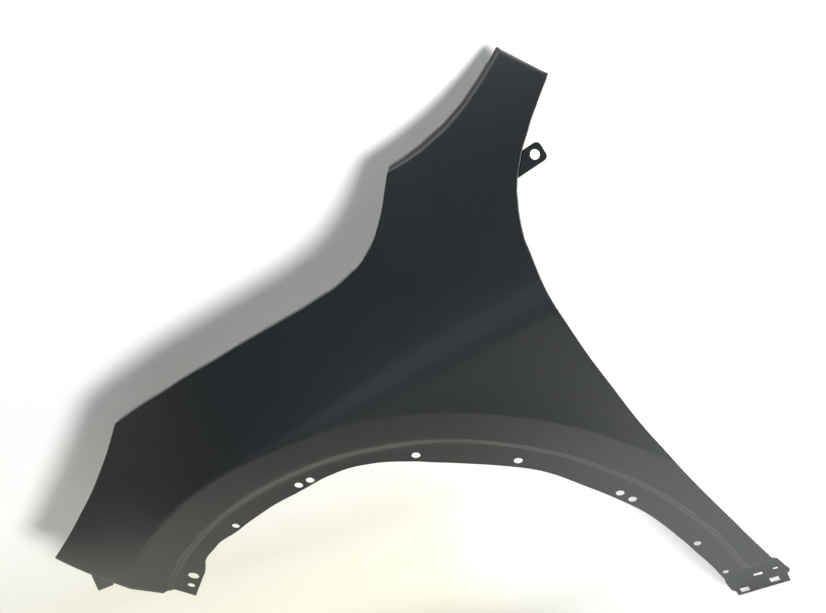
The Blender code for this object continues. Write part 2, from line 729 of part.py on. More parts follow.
def main():
    for old in list(bpy.data.objects):
        bpy.data.objects.remove(old, do_unlink=True)
    parts = bpy.data.collections.new("car_fender")
    cutters = bpy.data.collections.new("cutters")
    for collection in (parts, cutters):
        bpy.context.scene.collection.children.link(collection)
    carrier = bpy.data.objects.new("wheel_arch_centre", None)
    parts.objects.link(carrier)
    carrier.location = -rear_tab_seat()
    still = Matrix.Identity(4)
    cutter = as_cutter(place(build_panel_cutters(hood_bolts()), cutters, carrier, still))
    panel = place(build_panel(), parts, carrier, still)
    add_sheet(panel, SHEET, cutter)
    build_rear_tab(parts, cutters, carrier)
    build_front_tab(parts, cutters, carrier)


main()
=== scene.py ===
# %% [markdown]
# A car's front fender is one sheet of steel, pressed to shape, dipped in black primer and sold
# unpainted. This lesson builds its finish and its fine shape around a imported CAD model. The CAD
# model is the fixed frame: every piece here lies where the CAD solids lie.

import math

import bmesh
import bpy
from mathutils import Matrix, Vector


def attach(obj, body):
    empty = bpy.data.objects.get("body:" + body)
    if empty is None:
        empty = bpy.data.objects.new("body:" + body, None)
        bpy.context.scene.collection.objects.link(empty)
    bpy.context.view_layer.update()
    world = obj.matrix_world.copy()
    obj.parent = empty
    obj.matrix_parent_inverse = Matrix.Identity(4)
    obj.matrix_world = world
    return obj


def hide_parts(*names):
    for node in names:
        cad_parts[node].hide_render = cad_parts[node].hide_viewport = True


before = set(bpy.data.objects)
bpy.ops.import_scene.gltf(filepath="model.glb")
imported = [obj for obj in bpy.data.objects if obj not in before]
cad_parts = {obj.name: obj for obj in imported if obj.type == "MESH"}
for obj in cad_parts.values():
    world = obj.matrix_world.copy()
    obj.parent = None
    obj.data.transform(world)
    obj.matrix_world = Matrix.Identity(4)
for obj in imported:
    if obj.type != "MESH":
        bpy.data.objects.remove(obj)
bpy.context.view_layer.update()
print("frame nodes:", sorted(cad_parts))

# %% [markdown]
# The sheet's form follows the car, so it is easiest to describe around the centre of the wheel
# arch, with X toward the car's rear, Y inward and Z up. The lengths below are the ones that a body
# drawing would state first. All are in metres.

# %% The main lengths
ARCH_RADIUS = 0.388
LEG_WIDTH = 0.084
FRONT_REACH = 0.518
REAR_REACH = ARCH_RADIUS + LEG_WIDTH
ARM_RISE = 0.374
ARM_HEIGHT = ARCH_RADIUS + ARM_RISE
SILL_DROP = 0.134
SHEET = 0.0008
FOLD_RADIUS = 0.0010

print("panel reaches", FRONT_REACH + REAR_REACH, "m from its front corner to its rear edge")

# %% [markdown]
# An arch is drawn round its centre, so its line is given by angle, as shares of one radius. A
# smooth curve through the rows of a short table is enough for it, and the same helper draws all the
# other edges.

# %% The arch line
ARCH_SHARES = (
    (152, 1.045), (144, 1.021), (135, 1.000), (127, 0.987), (118, 0.983), (106, 0.987), (96, 0.997),
    (84, 1.011), (75, 1.015), (66, 1.018), (55, 1.010), (43, 1.003), (30, 0.997), (17, 1.006),
    (10, 1.015), (3, 1.033), (-5, 1.053), (-12, 1.086),
)


def smooth(low, high, value):
    """0 below low, 1 above high, and an eased rise between them."""
    share = min(1.0, max(0.0, (value - low) / (high - low)))
    return share * share * (3 - 2 * share)


def curve_at(stops, values, place):
    """A smooth curve through the values, which lie at rising stops."""
    last = len(stops) - 1
    i = max(0, min(last - 1, sum(stop <= place for stop in stops) - 1))
    span = stops[i + 1] - stops[i]

    def slope(k):
        low, high = max(0, k - 1), min(last, k + 1)
        return (values[high] - values[low]) / (stops[high] - stops[low])

    t = (place - stops[i]) / span
    near = values[i] + (slope(i) * span) * t
    far = values[i + 1] - (slope(i + 1) * span) * (1 - t)
    blend = t * t * (3 - 2 * t)
    return near * (1 - blend) + far * blend


def table_at(rows, angle):
    """The share that a table of (degrees, share) rows gives at an angle in radians."""
    stops = [-math.radians(row[0]) for row in rows]
    return curve_at(stops, [row[1] for row in rows], -angle)


def arch_radius(angle):
    return ARCH_RADIUS * table_at(ARCH_SHARES, angle)


print("arch radius at its top:", round(arch_radius(math.pi / 2), 4), "m")

# %% [markdown]
# A pressed skin is one smooth sheet, so its depth can be written as a function of where a point
# lies in the side view. That is easier to keep smooth than a cage of hand-placed points. Seen from
# above, the panel turns inward toward the front. Round the arch a step sets the flange back. The
# step is one bend at the arch's top and two narrower ones down its sides.

# %% The sweep and the step
FRONT_SWEEP = 0.076
SWEEP_POWER = 2.2
REAR_TUCK = 0.0015
CROWN_SHARE = 0.21

STEP_DEPTH = 0.0045
STEP_WIDTH = 0.017
STEP_SPLIT_SHARE = 0.42
STEP_SIDE_SHARE = 0.68
STEP_JOIN_REAR = (math.radians(48), math.radians(76))
STEP_JOIN_FRONT = (math.radians(104), math.radians(132))


def plan_sweep(x):
    """How far the panel has turned inward, seen from above."""
    crown = CROWN_SHARE * REAR_REACH
    if x < crown:
        return FRONT_SWEEP * ((crown - x) / (crown + FRONT_REACH)) ** SWEEP_POWER
    return REAR_TUCK * ((x - crown) / (REAR_REACH - crown)) ** 2


def step_rise(share, angle):
    """How much of the step is climbed. It is one bend at the arch's top and two down its sides."""
    joined = smooth(*STEP_JOIN_REAR, angle) * (1 - smooth(*STEP_JOIN_FRONT, angle))
    split = STEP_SPLIT_SHARE * (1 - joined) + joined
    share = 0.5 + (share - 0.5) / (STEP_SIDE_SHARE * (1 - joined) + joined)
    return (smooth(0, split, share) + smooth(1 - split, 1, share)) / 2


print("sweep at the front corner:", round(plan_sweep(-FRONT_REACH), 4), "m")

# %% [markdown]
# Outside the step runs a band, which ends at a crease. Above that shoulder the skin leans back more
# and more, and outside the flare it drops a little. The crease is tight toward the front and soft
# toward the rear, so its corner is rounded over a width that changes with the angle.

# %% The depth of the skin
BAND_WIDTH = 0.067
CREASE_EASE = 0.004

SHOULDER_ANGLE = math.radians(30.4)
SHOULDER_RADIUS = 0.417
SHOULDER_EASE = 0.024
SHOULDER_LINE = math.radians(101)
SHOULDER_SOFT = (math.radians(66), math.radians(101))
FRONT_FADE_SHARE = 0.85
FRONT_FADE = (math.radians(112), math.radians(158))

FLARE_DROP = 0.010
FLARE_FADE = 0.070
FLARE_RISE = (math.radians(-10), math.radians(40))
FLARE_REAR = (math.radians(57), math.radians(97))
FLARE_FRONT = (math.radians(112), math.radians(140))


def eased_rise(rise, ease):
    """The part of a rise that is over 0, with the corner at 0 rounded over an ease to each side."""
    if abs(rise) < ease:
        return (rise + ease) ** 2 / (4 * ease)
    return max(0.0, rise)


def skin_depth(x, z):
    """How far inside the widest line the outer face lies at a point of the side view."""
    angle = math.atan2(z, x)
    radius = math.hypot(x, z)
    gap = radius - arch_radius(angle)
    depth = plan_sweep(x) + STEP_DEPTH * (1 - step_rise(gap / STEP_WIDTH, angle))
    above = gap - BAND_WIDTH
    rise = above
    if 0 < angle < SHOULDER_LINE:
        crease = arch_radius(SHOULDER_LINE) + BAND_WIDTH
        rise = radius * math.cos(angle - SHOULDER_LINE) - crease
    ease = CREASE_EASE + SHOULDER_EASE * (1 - smooth(*SHOULDER_SOFT, angle))
    rise = eased_rise(rise, ease)
    fade = 1 - FRONT_FADE_SHARE * smooth(*FRONT_FADE, angle)
    depth += fade * (math.tan(SHOULDER_ANGLE) * rise + rise * rise / (2 * SHOULDER_RADIUS))
    if above > 0:
        rear = smooth(*FLARE_RISE, angle) * (1 - smooth(*FLARE_REAR, angle))
        flare = rear + smooth(*FLARE_FRONT, angle)
        depth += FLARE_DROP * (1 - math.exp(-above / FLARE_FADE)) * flare
    return depth


def on_skin(x, z):
    return Vector((x, skin_depth(x, z), z))


print("skin depth at the arm's tip:", round(skin_depth(0.45, 0.75), 4), "m")

# %% [markdown]
# The other edges are rows of points, given as shares of the main lengths, so the drawing keeps its
# proportions. The sheet is a grid with one column for each stop along these edges. Spacing the
# columns partly by length and partly by angle keeps them even both round the arch and up the long
# door edge. The CAD panel has about seventy columns, which is right for a solid but shows as facets
# in a soft reflection, so there are more of them here.

# %% The outer edges
FRONT_EDGE_SHARES = ((-1.0, 0.368), (-0.800, 0.475), (-0.624, 0.576), (-0.513, 0.649))
HOOD_EDGE_SHARES = (
    (-0.513, 0.649), (-0.323, 0.697), (-0.117, 0.735), (0.090, 0.764), (0.226, 0.781), (0.337, 0.800),
    (0.409, 0.822), (0.458, 0.847), (0.494, 0.872),
)
DOOR_EDGE_SHARES = (
    (0.838, 0.839), (0.820, 0.803), (0.817, 0.771), (0.820, 0.675), (0.833, 0.488), (0.871, 0.281),
    (0.936, 0.038), (0.962, -0.288), (0.970, -0.420),
)

FOOT_ANGLE = 151.8
HEADLIGHT_ANGLE = 118.3
ROOT_START_ANGLE = 70.7
ROOT_END_ANGLE = 58.2
SILL_ANGLE = -8.4

FRONT_COLUMNS = 30
HOOD_COLUMNS = 60
ROOT_COLUMNS = 22
DOOR_COLUMNS = 80
LENGTH_SHARE = 0.5


def side_point(shares):
    """A point of the side view from its two shares."""
    across, up = shares
    reach = REAR_REACH if across > 0 else FRONT_REACH
    return Vector((across * reach, up * (ARM_HEIGHT if up > 0 else SILL_DROP)))


def run_points(shares, count, length_share=1.0):
    """Points along an edge, spaced partly by length and partly by angle round the arch."""
    points = [side_point(row) for row in shares]
    angles = [math.atan2(point.y, point.x) for point in points]
    lengths = [0.0]
    for a, b in zip(points, points[1:]):
        lengths.append(lengths[-1] + (b - a).length)
    stops = []
    for angle, length in zip(angles, lengths):
        turn = (angles[0] - angle) / (angles[0] - angles[-1])
        stops.append(turn * (1 - length_share) + length / lengths[-1] * length_share)
    return [curve_at(stops, points, i / count) for i in range(count + 1)]


def rim_columns():
    """For each column: its arch angle and the point of the outer edge where it ends."""
    root_start, root_end = side_point(HOOD_EDGE_SHARES[-1]), side_point(DOOR_EDGE_SHARES[0])
    root = [root_start.lerp(root_end, i / ROOT_COLUMNS) for i in range(ROOT_COLUMNS + 1)]
    sides = (
        (FOOT_ANGLE, HEADLIGHT_ANGLE, run_points(FRONT_EDGE_SHARES, FRONT_COLUMNS, 0)),
        (HEADLIGHT_ANGLE, ROOT_START_ANGLE, run_points(HOOD_EDGE_SHARES, HOOD_COLUMNS, LENGTH_SHARE)),
        (ROOT_START_ANGLE, ROOT_END_ANGLE, root),
        (ROOT_END_ANGLE, SILL_ANGLE, run_points(DOOR_EDGE_SHARES, DOOR_COLUMNS, LENGTH_SHARE)),
    )
    columns = []
    for start, end, points in sides:
        count = len(points) - 1
        for i, point in enumerate(points):
            if columns and i == 0:
                continue
            columns.append((math.radians(start + (end - start) * i / count), point))
    return columns


columns = rim_columns()
print("columns of the skin:", len(columns))

# %% [markdown]
# Each column runs from the edge of the arch flange out to the rim. Its rows lie closest together
# where the form turns, at the step and at the crease. At the front foot the flange is cut short, so
# that it ends a little above the skin beside it, and the columns next to it follow.

# %% The rows of a column
FLANGE_WIDTH = 0.040
FLANGE_SHARES = (
    (152, 0.77), (143, 0.77), (138.5, 0.67), (135.5, 0.53), (130, 0.50), (125.5, 0.52), (121, 0.64),
    (117, 0.67), (104, 0.67), (97, 0.66), (90, 0.53), (81, 0.53), (72, 0.77), (66, 0.94), (55, 0.93),
    (48, 0.84), (42, 0.84), (36, 0.89), (29, 0.89), (16, 0.84), (9, 0.87), (2, 0.90), (-6, 0.80),
    (-12, 0.77),
)
LEG_BAND_SHARE = 0.5

FLANGE_ROWS = 3
STEP_ROWS = 8
BAND_ROWS = 5
CREASE_ROWS = 6
SKIN_ROWS = 34

FOOT_NOTCH = 0.0095
NOTCH_SLOPE_SHARE = 0.7
NOTCH_SIDE_SHARE = 0.75


def spread(start, end, count):
    """Evenly spaced values after start, up to and with end."""
    return [start + (end - start) * k / count for k in range(1, count + 1)]


def column_points(angle, rim, bow):
    """The points of one column in the side view, from the flange's edge to the rim."""
    radial = Vector((math.cos(angle), math.sin(angle)))
    foot = radial * arch_radius(angle)
    flange = FLANGE_WIDTH * table_at(FLANGE_SHARES, angle)
    way = (rim - foot).normalized()
    width = (rim - foot).length - FOLD_RADIUS
    side = Vector((-way.y, way.x))
    crease = min(BAND_WIDTH, STEP_WIDTH + LEG_BAND_SHARE * (width - STEP_WIDTH))
    ease = min(2 * CREASE_EASE, (crease - STEP_WIDTH) / 2, (width - crease) / 2)
    offsets = spread(0, STEP_WIDTH, STEP_ROWS)
    offsets += spread(STEP_WIDTH, crease - ease, BAND_ROWS)
    offsets += spread(crease - ease, crease + ease, CREASE_ROWS)
    offsets += spread(crease + ease, width, SKIN_ROWS)
    points = [foot - radial * flange * (1 - k / FLANGE_ROWS) for k in range(FLANGE_ROWS + 1)]
    for offset in offsets:
        share = offset / width
        points.append(foot + way * offset + side * bow * math.sin(math.pi * share) * share)
    return points


def notched(points, strength):
    """Lifts the lower end of the flange, so that it ends above the skin beside it."""
    foot = points[FLANGE_ROWS]
    lifted = []
    for k, point in enumerate(points):
        offset = (point - foot).length / STEP_WIDTH
        if k < FLANGE_ROWS:
            share = k / FLANGE_ROWS
        elif offset < NOTCH_SIDE_SHARE:
            share = 1 - (1 - NOTCH_SLOPE_SHARE) * offset / NOTCH_SIDE_SHARE
        else:
            share = NOTCH_SLOPE_SHARE * max(0.0, 1 - offset) / (1 - NOTCH_SIDE_SHARE)
        turn = Matrix.Rotation(-FOOT_NOTCH * share * strength / point.length, 2)
        lifted.append(turn @ point)
    return lifted


print("flange at the arch's top:", round(FLANGE_WIDTH * table_at(FLANGE_SHARES, math.pi / 2), 4))

# %% [markdown]
# The sheet starts from bmesh's own grid. Its vertices are then laid on the skin, one column after
# another. The edge rows are kept, because the arm, the sill tab and the folds grow from them.

# %% The skin
BOTTOM_BOW = 0.012
NOTCH_COLUMNS = 6


def build_skin(bm):
    bow_columns = FRONT_COLUMNS / 2
    table = []
    for i, (angle, rim) in enumerate(columns):
        bow = BOTTOM_BOW * max(0.0, 1 - i / bow_columns) ** 2
        table.append(column_points(angle, rim, bow))
    for i in range(NOTCH_COLUMNS):
        table[i] = notched(table[i], 1 - i / NOTCH_COLUMNS)
    last_column, last_row = len(table) - 1, len(table[0]) - 1
    bmesh.ops.create_grid(bm, x_segments=last_column, y_segments=last_row, size=1)
    grid = {}
    for vert in bm.verts:
        i = round((vert.co.x + 1) / 2 * last_column)
        j = round((vert.co.y + 1) / 2 * last_row)
        grid[i, j] = vert
    for (i, j), vert in grid.items():
        vert.co = on_skin(*table[i][j])
    root_start = FRONT_COLUMNS + HOOD_COLUMNS
    root_end = root_start + ROOT_COLUMNS
    band_row = FLANGE_ROWS + STEP_ROWS
    top = [grid[i, last_row] for i in range(last_column + 1)]
    return {
        "bottom": [grid[0, j] for j in range(band_row, last_row + 1)],
        "front": top[: FRONT_COLUMNS + 1],
        "hood": top[FRONT_COLUMNS : root_start + 1],
        "root": top[root_start : root_end + 1],
        "door": top[root_end:],
        "sill": [grid[last_column, j] for j in range(last_row + 1)],
    }


sheet = bmesh.new()
rows = build_skin(sheet)
print("faces of the skin:", len(sheet.faces))

# %% [markdown]
# The arm to the windscreen pillar is extruded row by row from the skin's edge. Each new row is put
# at its own place, so the sheet stays in one piece with no seam.

# %% The arm
HOOD_CORNER_SHARES = ((0.494, 0.872), (0.515, 0.889), (0.532, 0.903))
ARM_HOOD_SHARES = (
    (0.532, 0.903), (0.612, 0.912), (0.684, 0.925), (0.750, 0.940), (0.822, 0.962), (0.889, 0.986),
    (0.922, 0.999),
)
ARM_DOOR_SHARES = ((0.838, 0.839), (0.870, 0.872), (0.923, 0.909), (0.962, 0.932), (1.016, 0.961))
CORNER_ROWS = 8
ARM_ROWS = 34


def extrude_row(bm, row, places):
    """Extrudes a row of vertices as edges and puts each new vertex at its place."""
    edges = [bm.edges.get(pair) for pair in zip(row, row[1:])]
    made = bmesh.ops.extrude_edge_only(bm, edges=edges)["geom"]
    fresh = {item for item in made if isinstance(item, bmesh.types.BMVert)}
    new_row = []
    for vert, place in zip(row, places):
        ends = [edge.other_vert(vert) for edge in vert.link_edges]
        new = next(end for end in ends if end in fresh)
        new.co = place
        new_row.append(new)
    return new_row


def build_arm(bm, rows):
    left = run_points(HOOD_CORNER_SHARES, CORNER_ROWS) + run_points(ARM_HOOD_SHARES, ARM_ROWS)[1:]
    right = run_points(ARM_DOOR_SHARES, CORNER_ROWS + ARM_ROWS)
    row = rows["root"]
    hood_side, door_side = [row[0]], [row[-1]]
    for start, end in zip(left[1:], right[1:]):
        end = end - (end - start).normalized() * FOLD_RADIUS
        points = [start.lerp(end, i / ROOT_COLUMNS) for i in range(ROOT_COLUMNS + 1)]
        row = extrude_row(bm, row, [on_skin(*point) for point in points])
        hood_side.append(row[0])
        door_side.append(row[-1])
    rows["corner"] = hood_side[: CORNER_ROWS + 1]
    rows["gutter"] = hood_side[CORNER_ROWS:]
    rows["tip"] = row
    rows["door"] = door_side[:0:-1] + rows["door"]


build_arm(sheet, rows)
print("faces with the arm:", len(sheet.faces))

# %% [markdown]
# The sill tab grows from the foot of the rear leg in the same way. It is flat and set back as far
# as the arch flange, so its first rows go down two soft bends, which carry the arch's step on
# across the leg.

# %% The sill tab
SILL_TAB_SHARES = (
    (-0.655, -0.553, 0.810, 0.984), (-0.720, -0.700, 0.807, 0.993), (-0.800, -0.768, 0.808, 1.0),
    (-0.885, -0.824, 0.811, 0.996), (-0.915, -0.842, 0.820, 0.987), (-1.0, -0.985, 0.820, 0.984),
)
SILL_STEP_ROWS = 16
SILL_LEAD_SHARE = 0.25


def build_sill_tab(bm, rows):
    """The flat tab below the foot of the rear leg, with the arch's step carried on above it."""
    row = rows["sill"]
    depth = plan_sweep(REAR_REACH) + STEP_DEPTH
    starts = [vert.co.copy() for vert in row]
    widths = [start.x - starts[0].x for start in starts]
    for number, (near, far, start, end) in enumerate(SILL_TAB_SHARES):
        places = []
        for width in widths:
            share = width / widths[-1]
            x = REAR_REACH * (start + (end - start) * share)
            z = SILL_DROP * (near + (far - near) * share)
            places.append(Vector((x, depth, z)))
        for k in range(1, SILL_STEP_ROWS) if number == 0 else ():
            share = k / SILL_STEP_ROWS
            late = (share - SILL_LEAD_SHARE) / (1 - SILL_LEAD_SHARE)
            sunk = step_rise(late, math.radians(SILL_ANGLE))
            between = [a.lerp(b, share) for a, b in zip(starts, places)]
            for place, a, b in zip(between, starts, places):
                place.y = a.y + (b.y - a.y) * sunk
            row = extrude_row(bm, row, between)
        row = extrude_row(bm, row, places)


build_sill_tab(sheet, rows)
print("faces with the sill tab:", len(sheet.faces))

# %% [markdown]
# A bare edge of thin steel would flap and cut, so each edge of a fender is folded back. A fold is
# extruded too, along ways worked out from the edge itself: out of the panel, and square into it.
# The fold is tight along most edges and rounder at the arm's tip, where it catches a line of light.

# %% How an edge is folded
TIP_RADIUS = 0.0019
FOLD_STEPS = 4


def edge_ways(row):
    """For each vertex of an edge row, the vector in the side view that leaves the panel.

    The row runs so that the panel lies on its right, seen from the car's outer side. At a corner
    the vector is longer, so that a fold keeps its width there.
    """
    sides = []
    for a, b in zip(row, row[1:]):
        along = Vector((b.co.x - a.co.x, 0, b.co.z - a.co.z)).normalized()
        sides.append(Vector((-along.z, 0, along.x)))
    found = []
    for before, after in zip(sides[:1] + sides, sides + sides[-1:]):
        found.append((before + after) / (1 + before.dot(after)))
    return found


def side_ways(row):
    """For each vertex of an edge row, the ways out of the panel and inward, as in the side view."""
    return [(way, Vector((0, 1, 0))) for way in edge_ways(row)]


def skin_ways(row):
    """For each vertex of an edge row, the ways out along the skin and square into it."""
    found = []
    for vert, way in zip(row, edge_ways(row)):
        step = way.normalized() * SHEET
        ahead = skin_depth(vert.co.x + step.x, vert.co.z + step.z)
        behind = skin_depth(vert.co.x - step.x, vert.co.z - step.z)
        slope = (ahead - behind) / (2 * SHEET)
        steep = math.hypot(1, slope)
        out = (way + Vector((0, slope * way.length, 0))) / steep
        found.append((out, (Vector((0, 1, 0)) - way.normalized() * slope) / steep))
    return found


def fold_row(bm, row, ways, steps, taper=None):
    """Folds an edge row. Each step gives how far out and how far inward each vertex goes."""
    taper = taper or [1.0] * len(row)
    for out, inward in steps:
        places = []
        for vert, (outward, deeper), share in zip(row, ways, taper):
            places.append(vert.co + (outward * out + deeper * inward) * share)
        row = extrude_row(bm, row, places)
    return row


def round_fold():
    """The steps that turn the sheet through a right angle at the fold's radius."""
    turns = [math.pi / 2 * k / FOLD_STEPS for k in range(FOLD_STEPS + 1)]
    steps = []
    for a, b in zip(turns, turns[1:]):
        out = FOLD_RADIUS * (math.sin(b) - math.sin(a))
        inward = FOLD_RADIUS * (math.cos(a) - math.cos(b))
        steps.append((out, inward))
    return steps


def turn_rim(bm, edges, wide=()):
    """Turns edges that meet at corners as one rim, and returns each edge's vertices after it."""
    rim = edges[0] + [vert for edge in edges[1:] for vert in edge[1:]]
    taper = [TIP_RADIUS / FOLD_RADIUS if vert in wide else 1.0 for vert in rim]
    turned = dict(zip(rim, fold_row(bm, rim, skin_ways(rim), round_fold(), taper)))
    return [[turned[vert] for vert in edge] for edge in edges]


print("steps that turn a fold:", len(round_fold()))

# %% [markdown]
# Beside the arm's hood edge lies a shallow gutter: a slope down from the skin, then a narrow ledge.
# It comes before the folds, because that edge's fold starts from the ledge. Thin rows at both ends
# of the slope keep its bends crisp although the faces are shaded smooth. The two corners of the
# arm's tip are cut off a little, because the pressed ones are round.

# %% The gutter
GUTTER_SLOPE = 0.0050
GUTTER_DROP = 0.0026
GUTTER_WIDTH = 0.0030
LEDGE_DROP = 0.0006

SLOPE_STEP_SHARES = ((0.08, 0.02), (0.06, 0.06), (0.72, 0.84), (0.06, 0.06), (0.08, 0.02))
LEDGE_STEP_SHARES = (0.2, 0.8)

GUTTER_TAPER = 0.060
GUTTER_ROOT_SHARE = 0.65
CORNER_CUT_SHARE = 0.45


def cut_corner(before, corner, after):
    corner.co = corner.co.lerp((before.co + after.co) / 2, CORNER_CUT_SHARE)


def build_gutter(bm, rows):
    """The strip beside the arm's hood edge: a slope down from the skin, then a flat ledge."""
    gutter = rows["gutter"]
    taper = []
    for vert in gutter:
        grown = smooth(0, GUTTER_TAPER, (vert.co - gutter[0].co).length)
        taper.append(GUTTER_ROOT_SHARE + (1 - GUTTER_ROOT_SHARE) * grown)
    ways = skin_ways(gutter)
    along_hood = gutter[0].co - rows["corner"][-2].co
    along_tip = gutter[-1].co - rows["tip"][1].co
    for end, along in ((0, along_hood), (-1, along_tip)):
        ways[end] = (along / along.dot(ways[end][0]), ways[end][1])
    steps = [(GUTTER_SLOPE * out, GUTTER_DROP * inward) for out, inward in SLOPE_STEP_SHARES]
    steps += [(GUTTER_WIDTH * share, LEDGE_DROP * share) for share in LEDGE_STEP_SHARES]
    row, ends = gutter, [gutter[-1]]
    for step in steps:
        row = fold_row(bm, row, ways, [step], taper)
        ends.append(row[-1])
    rows["strip"] = row
    rows["strip_end"] = ends[::-1]
    cut_corner(row[-2], row[-1], ends[-3])
    cut_corner(rows["tip"][-2], rows["tip"][-1], rows["door"][1])


build_gutter(sheet, rows)
print("faces with the gutter:", len(sheet.faces))

# %% [markdown]
# Behind the rim the sheet goes on as narrow returns, and behind the hood edge as a wall with a bolt
# flange. They stiffen the panel and carry its bolts. A return stops short where a tab crosses its
# edge, and before a corner that it would show past. An open sheet has no inside, so its faces are
# turned by the side that most of them look to.

# %% The returns behind the edges
EDGE_RETURN = 0.012
DOOR_RETURN = 0.010
TIP_RETURN = 0.006
RETURN_LEAN_SHARE = 0.6
TIP_LEAN_SHARE = 1.3
CORNER_SETBACK_ROWS = 3

HOOD_LEAN = 0.003
HOOD_WALL = 0.036
HOOD_FLANGE = 0.016
WALL_SETBACK_ROWS = 4

REAR_TAB_SHARES = (0.870, 0.869)
REAR_TAB_WIDTH = 0.024
FRONT_TAB_SHARES = (-0.893, 0.3045)
FRONT_TAB_WIDTH = 0.045
TAB_CLEARANCE = 0.006

OUTWARD = Vector((0, -1, 0))


def clear_runs(row, centre, clearance):
    """The stretches of an edge row that stay clear of a tab that crosses it."""
    runs, run = [], []
    for vert in row:
        if (vert.co - centre).length > clearance:
            run.append(vert)
        elif run:
            runs.append(run)
            run = []
    return [found for found in (*runs, run) if len(found) > 1]


def build_returns(bm, rows):
    """The folds behind the edges that stiffen the panel and carry its bolts."""
    lower = turn_rim(bm, [rows["bottom"][1:], rows["front"], rows["hood"], rows["corner"]])
    wide = rows["strip_end"][1:] + rows["tip"]
    upper = turn_rim(bm, [rows["strip"], rows["strip_end"], rows["tip"], rows["door"]], wide)
    bottom, front, hood, corner = lower
    strip, _, tip, door = upper
    front_tab = on_skin(*side_point(FRONT_TAB_SHARES))
    rear_tab = on_skin(*side_point(REAR_TAB_SHARES))
    edge = [(-EDGE_RETURN * RETURN_LEAN_SHARE, EDGE_RETURN)]
    bottom = bottom[:-CORNER_SETBACK_ROWS]
    for run in clear_runs(bottom, front_tab, FRONT_TAB_WIDTH / 2 + TAB_CLEARANCE):
        fold_row(bm, run, side_ways(run), edge)
    fold_row(bm, front[1:-1], side_ways(front[1:-1]), edge)
    for run in clear_runs(door[1:-1], rear_tab, REAR_TAB_WIDTH / 2 + TAB_CLEARANCE):
        fold_row(bm, run, side_ways(run), [(-DOOR_RETURN * RETURN_LEAN_SHARE, DOOR_RETURN)])
    fold_row(bm, tip[1:-1], side_ways(tip[1:-1]), [(-TIP_RETURN * TIP_LEAN_SHARE, TIP_RETURN)])
    wall = [(0, HOOD_LEAN), (-HOOD_WALL, HOOD_LEAN), (0, HOOD_FLANGE)]
    for run in (hood[1:] + corner[1:-1], strip[1:-WALL_SETBACK_ROWS]):
        fold_row(bm, run, side_ways(run), wall)


def face_toward(bm, way):
    """Turns all faces of an open sheet alike, to the side that most of them should look to."""
    bmesh.ops.recalc_face_normals(bm, faces=bm.faces)
    if sum(face.normal.dot(way) for face in bm.faces) < 0:
        bmesh.ops.reverse_faces(bm, faces=bm.faces)


build_returns(sheet, rows)
face_toward(sheet, OUTWARD)
print("faces with the folds:", len(sheet.faces))

# %% [markdown]
# The holes are punched in a press, so they go straight through the sheet. Bars stand where the
# punches would: round ones, drawn out where a hole is long, and square ones for the slots. One
# Boolean cuts them all later.

# %% The punches
HOLE_SIDES = 40
CUT_OVERRUN = 0.005


def add_punch(bm, place, axis, length, width):
    turn = axis.to_track_quat("Z", "X").to_matrix().to_4x4()
    made = bmesh.ops.create_cone(
        bm, cap_ends=True, segments=HOLE_SIDES, radius1=width / 2, radius2=width / 2,
        depth=2 * CUT_OVERRUN, matrix=Matrix.Translation(place) @ turn,
    )
    stretch = Vector(((length - width) / 2, 0, 0))
    for vert in made["verts"]:
        vert.co += stretch if vert.co.x > place.x else -stretch


def add_slot_punch(bm, place, length, width):
    """A square-cornered bar that lies across the car, for a slot that runs along X."""
    size = Matrix.Diagonal((length, 2 * CUT_OVERRUN, width, 1))
    bmesh.ops.create_cube(bm, size=1, matrix=Matrix.Translation(place) @ size)


punches = bmesh.new()
print("sides of a round punch:", HOLE_SIDES)

# %% [markdown]
# The small holes of the arch flange lie at an inset from its edge, each at its own angle, and a
# larger one is near the front foot. The sill tab has four square slots, and the flange behind the
# hood edge has three bolt slots.

# %% The places of the holes
HOLE_DIAMETER = 0.0115
HOLE_INSET = 0.011
ARCH_HOLE_SHARES = (
    (147.5, 1.06, 0.93), (118.7, 0.77, 0.90), (97.3, 0.94, 1.0), (94.3, 0.75, 1.0), (71.3, 1.14, 1.0),
    (50.8, 1.20, 1.0), (26.6, 1.07, 1.0), (23.1, 0.98, 1.0), (1.6, 1.05, 0.90), (-10.3, 0.85, 0.75),
)
FOOT_HOLE = 0.016
FOOT_HOLE_ANGLE = 143.2
FOOT_HOLE_INSET_SHARE = 1.2

SLOT_LENGTH = 0.013
SLOT_WIDTH = 0.011
SILL_SLOT_SHARES = (
    (0.907, -0.722, 0.99, 0.54), (0.943, -0.891, 1.04, 1.0), (0.847, -0.928, 1.0, 0.96),
    (0.962, -0.704, 0.53, 0.34),
)

BOLT_SLOT = 0.012
BOLT_DIAMETER = 0.008
HOOD_BOLT_SHARES = (0.14, 0.45, 0.73)


def arch_hole_place(degrees, inset_share):
    """The centre of a hole in the arch flange, an inset outward of the flange's edge."""
    angle = math.radians(degrees)
    edge = arch_radius(angle) - FLANGE_WIDTH * table_at(FLANGE_SHARES, angle)
    radius = edge + HOLE_INSET * inset_share
    return on_skin(radius * math.cos(angle), radius * math.sin(angle))


def hood_bolts():
    """The centre and axis of each bolt slot in the flange behind the hood edge."""
    rim = run_points(HOOD_EDGE_SHARES, HOOD_COLUMNS, LENGTH_SHARE)
    found = []
    for share in HOOD_BOLT_SHARES:
        i = round(share * HOOD_COLUMNS)
        along = (rim[i + 1] - rim[i - 1]).normalized()
        out = Vector((-along.y, 0, along.x))
        inward = FOLD_RADIUS + 2 * HOOD_LEAN + HOOD_FLANGE / 2
        place = on_skin(*rim[i]) - out * (HOOD_WALL - FOLD_RADIUS) + Vector((0, inward, 0))
        found.append((place, out))
    return found


